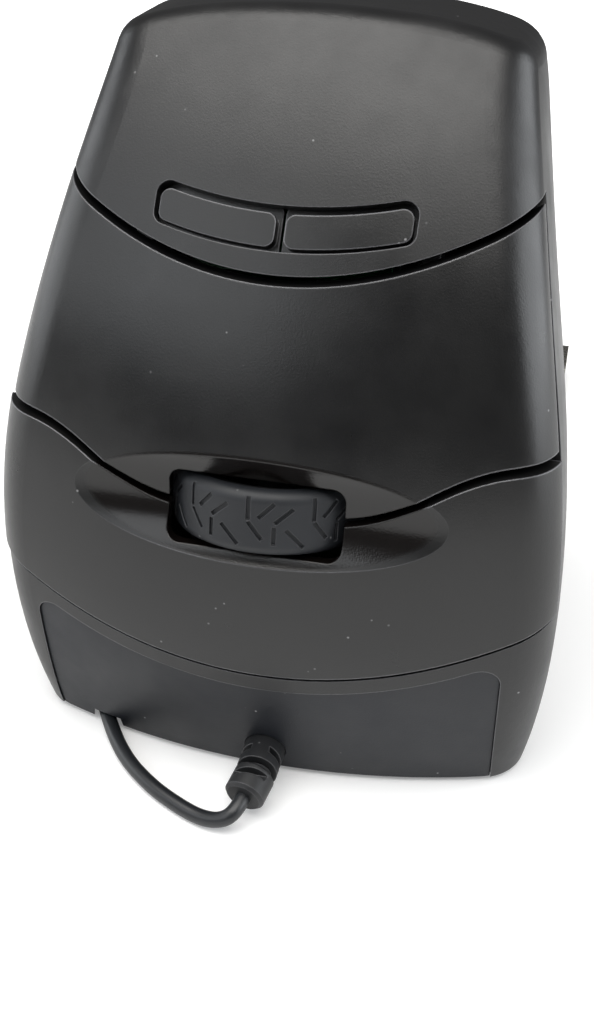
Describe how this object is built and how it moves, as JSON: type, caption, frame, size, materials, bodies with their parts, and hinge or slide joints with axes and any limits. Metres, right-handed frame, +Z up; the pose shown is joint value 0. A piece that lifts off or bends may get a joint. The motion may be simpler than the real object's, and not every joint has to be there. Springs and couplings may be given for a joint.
{
  "type": "ergonomic mouse",
  "caption": "Upright corded fingertip mouse with two wide front keys, a sideways wheel in a dished window, two small keys in the brow and a tied cord.",
  "frame": {"origin": "middle of the footprint on the table, without the cord", "axes": "+Z up, front with the wheel toward -Y, +X to the right as seen from the front"},
  "size_m": [0.0725, 0.1455, 0.0896],
  "materials": {
    "housing_plastic": "black moulded ABS with a fine satin texture",
    "key_plastic": "black moulded ABS, satin, a little smoother than the housing",
    "inlay_film": "matt blue-black moulded insert",
    "tyre_rubber": "matt charcoal silicone rubber",
    "boot_rubber": "matt black soft vinyl",
    "cord_jacket": "black vinyl cord jacket, satin",
    "glide_pad": "slippery dark low-friction plastic",
    "inner_nylon": "natural white acetal",
    "switch_black": "black switch housing",
    "plunger_white": "white acetal",
    "board_green": "green solder mask on glass fibre board",
    "chip_black": "black epoxy",
    "clear_lens": "clear moulded acrylic",
    "led_epoxy": "red clear epoxy",
    "header_nylon": "off-white nylon",
    "ribbon_vinyl": "grey flat cable",
    "zinc_steel": "zinc-plated steel",
    "plug_plating": "nickel-plated steel",
    "contact_gold": "gold-plated contacts",
    "tie_plastic": "black coated tie strip"
  },
  "bodies": {
    "housing": {"housing_shell": "housing_plastic", "housing_base": "housing_plastic", "front_inlay": "inlay_film", "bracket": "switch_black", "button_board": "board_green", "upper_click_switch": "switch_black", "lower_click_switch": "switch_black", "wheel_click_switch": "switch_black", "hand_board": "board_green", "hand_switches": "switch_black", "main_board": "board_green", "motion_sensor": "chip_black", "sensor_lens": "clear_lens", "sensor_led": "led_epoxy", "controller_chip": "chip_black", "cable_header": "header_nylon", "link_ribbon": "ribbon_vinyl", "hand_ribbon": "ribbon_vinyl", "inner_cable": "cord_jacket", "strain_relief": "boot_rubber", "housing_screws": "zinc_steel", "board_screws": "zinc_steel", "bracket_screws": "zinc_steel", "upright_board_screws": "zinc_steel", "hand_board_screws": "zinc_steel", "glide_feet": "glide_pad", "cable_run": "cord_jacket", "cable_coil": "cord_jacket", "cable_tail": "cord_jacket", "cable_ties": "tie_plastic", "plug_body": "boot_rubber", "plug_shell": "plug_plating", "plug_tongue": "header_nylon", "plug_contacts": "contact_gold"},
    "upper_key": {"upper_key": "key_plastic"},
    "lower_key": {"lower_key": "key_plastic"},
    "left_hand_key": {"left_hand_key": "key_plastic"},
    "right_hand_key": {"right_hand_key": "key_plastic"},
    "wheel_carrier": {"wheel_carrier": "inner_nylon", "scroll_encoder": "switch_black"},
    "wheel": {"wheel_tyre": "tyre_rubber", "wheel_hub": "switch_black", "wheel_axle": "zinc_steel"},
    "upper_click_plunger": {"upper_click_plunger": "plunger_white"},
    "lower_click_plunger": {"lower_click_plunger": "plunger_white"},
    "wheel_click_plunger": {"wheel_click_plunger": "plunger_white"},
    "left_hand_plunger": {"left_hand_plunger": "plunger_white"},
    "right_hand_plunger": {"right_hand_plunger": "plunger_white"}
  },
  "joints": [
    {"name": "upper_key_press", "type": "hinge", "parent": "housing", "child": "upper_key", "pos_m": [0, -0.02315, 0.064], "axis": [1, 0, 0], "range_deg": [0, 1.5], "stiffness_Nm_per_rad": 0.5, "springref_deg": -1.15},
    {"name": "lower_key_press", "type": "hinge", "parent": "housing", "child": "lower_key", "pos_m": [0, -0.03293, 0.018], "axis": [-1, 0, 0], "range_deg": [0, 1.5], "stiffness_Nm_per_rad": 0.5, "springref_deg": -1.15},
    {"name": "left_hand_key_press", "type": "slide", "parent": "housing", "child": "left_hand_key", "axis": [0, 0.8321, -0.5547], "range_m": [0, 0.0003], "stiffness_N_per_m": 1500, "springref_m": -0.0003},
    {"name": "right_hand_key_press", "type": "slide", "parent": "housing", "child": "right_hand_key", "axis": [0, 0.8321, -0.5547], "range_m": [0, 0.0003], "stiffness_N_per_m": 1500, "springref_m": -0.0003},
    {"name": "wheel_press", "type": "slide", "parent": "housing", "child": "wheel_carrier", "axis": [0, 0.9816, -0.1908], "range_m": [0, 0.00035], "stiffness_N_per_m": 2000, "springref_m": -0.0004},
    {"name": "wheel_spin", "type": "hinge", "parent": "wheel_carrier", "child": "wheel", "pos_m": [0, -0.02835, 0.03824], "axis": [0, 0.1908, 0.9816], "continuous": true},
    {"name": "upper_plunger_slide", "type": "slide", "parent": "housing", "child": "upper_click_plunger", "axis": [0, 0.9816, -0.1908], "range_m": [0, 0.00032]},
    {"name": "lower_plunger_slide", "type": "slide", "parent": "housing", "child": "lower_click_plunger", "axis": [0, 0.9816, -0.1908], "range_m": [0, 0.00032]},
    {"name": "wheel_plunger_slide", "type": "slide", "parent": "housing", "child": "wheel_click_plunger", "axis": [0, 0.9816, -0.1908], "range_m": [0, 0.00035]},
    {"name": "left_hand_plunger_slide", "type": "slide", "parent": "housing", "child": "left_hand_plunger", "axis": [0, 0.8321, -0.5547], "range_m": [0, 0.0003]},
    {"name": "right_hand_plunger_slide", "type": "slide", "parent": "housing", "child": "right_hand_plunger", "axis": [0, 0.8321, -0.5547], "range_m": [0, 0.0003]}
  ],
  "couplings": [
    {"joint": "upper_plunger_slide", "follows": "upper_key_press", "m_per_rad": 0.0113},
    {"joint": "lower_plunger_slide", "follows": "lower_key_press", "m_per_rad": 0.0112},
    {"joint": "wheel_plunger_slide", "follows": "wheel_press", "ratio": 1},
    {"joint": "left_hand_plunger_slide", "follows": "left_hand_key_press", "ratio": 1},
    {"joint": "right_hand_plunger_slide", "follows": "right_hand_key_press", "ratio": 1}
  ]
}
